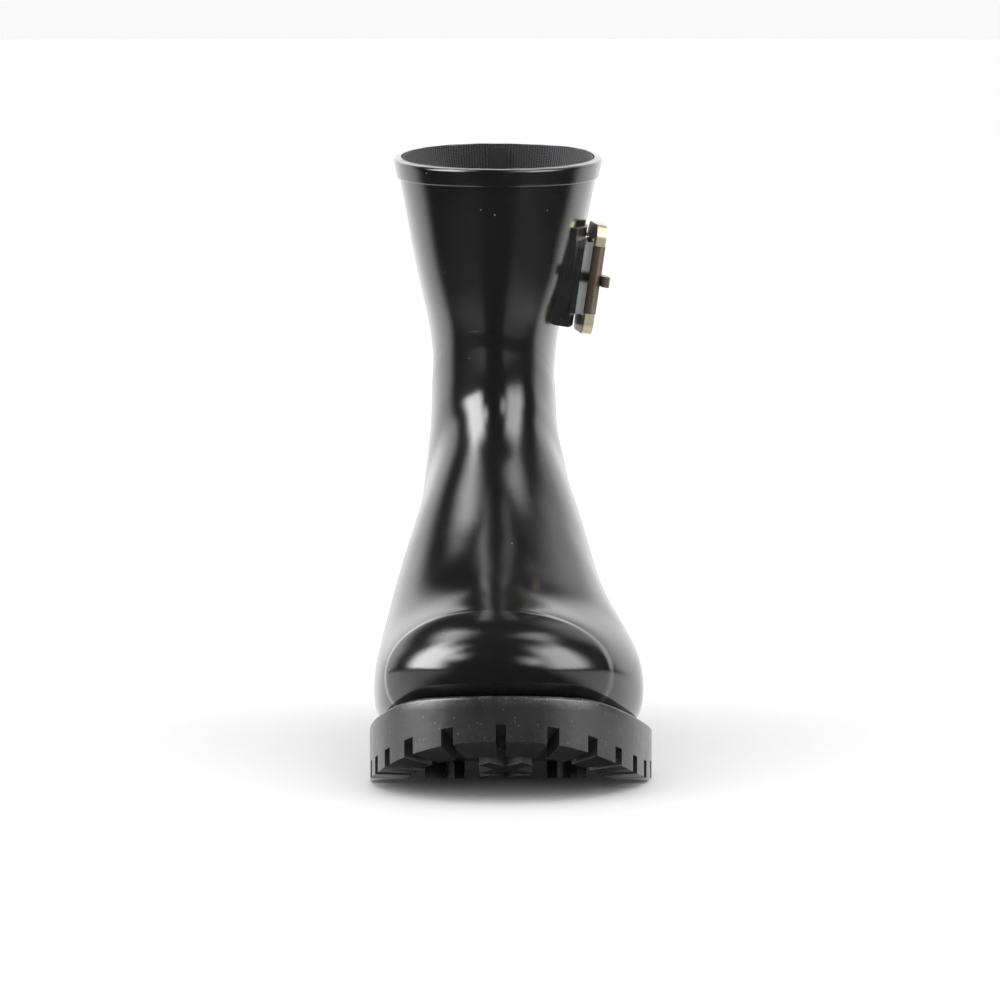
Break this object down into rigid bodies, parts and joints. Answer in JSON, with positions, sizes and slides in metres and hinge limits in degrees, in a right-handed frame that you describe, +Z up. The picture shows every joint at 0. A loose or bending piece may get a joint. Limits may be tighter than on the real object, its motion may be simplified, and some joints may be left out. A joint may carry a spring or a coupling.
{
  "type": "rubber rain boot",
  "caption": "Short glossy black rubber rain boot for the left foot, with a lugged outsole and a side strap with a roller buckle.",
  "frame": {"origin": "on the floor, under the middle of the outsole's outline", "axes": "+Z up, toe towards -Y, outer side of the foot and the buckle towards +X"},
  "size_m": [0.1086, 0.2854, 0.2353],
  "materials": {
    "sole_rubber": "satin black moulded rubber",
    "filler": "matte sponge rubber",
    "board": "pressed fibre sheet",
    "knit": "charcoal knitted cotton",
    "gloss_rubber": "glossy black lacquered rubber",
    "strap_rubber": "satin black rubber",
    "gold_metal": "antique gold plate, worn at the edges",
    "bronze_metal": "dark bronze plate with fine streaks"
  },
  "bodies": {
    "boot": {"outsole": "sole_rubber", "forefoot_filler": "filler", "heel_filler": "filler", "insole_board": "board", "insole": "knit", "lining": "knit", "lining_tape": "knit", "upper_shell": "gloss_rubber", "vamp": "gloss_rubber", "toe_cap": "gloss_rubber", "heel_counter": "gloss_rubber", "back_stay": "gloss_rubber", "top_band": "gloss_rubber", "strap_pad": "strap_rubber", "billet": "strap_rubber", "chape": "strap_rubber", "keeper_loop": "strap_rubber", "chape_rivets": "gold_metal"},
    "frame": {"buckle_frame": "gold_metal"},
    "roller": {"buckle_roller": "bronze_metal"},
    "prong": {"buckle_prong": "bronze_metal"}
  },
  "joints": [
    {"name": "frame_swing", "type": "hinge", "parent": "boot", "child": "frame", "pos_m": [0.03035, 0.06515, 0.18519], "axis": [0.1478, 0, 0.989], "range_deg": [0, 12]},
    {"name": "roller_spin", "type": "hinge", "parent": "frame", "child": "roller", "pos_m": [0.03324, 0.04133, 0.18476], "axis": [0.1478, 0, 0.989], "continuous": true},
    {"name": "prong_lift", "type": "hinge", "parent": "frame", "child": "prong", "pos_m": [0.03035, 0.06515, 0.18519], "axis": [0.1478, 0, 0.989], "range_deg": [0, 30]}
  ]
}
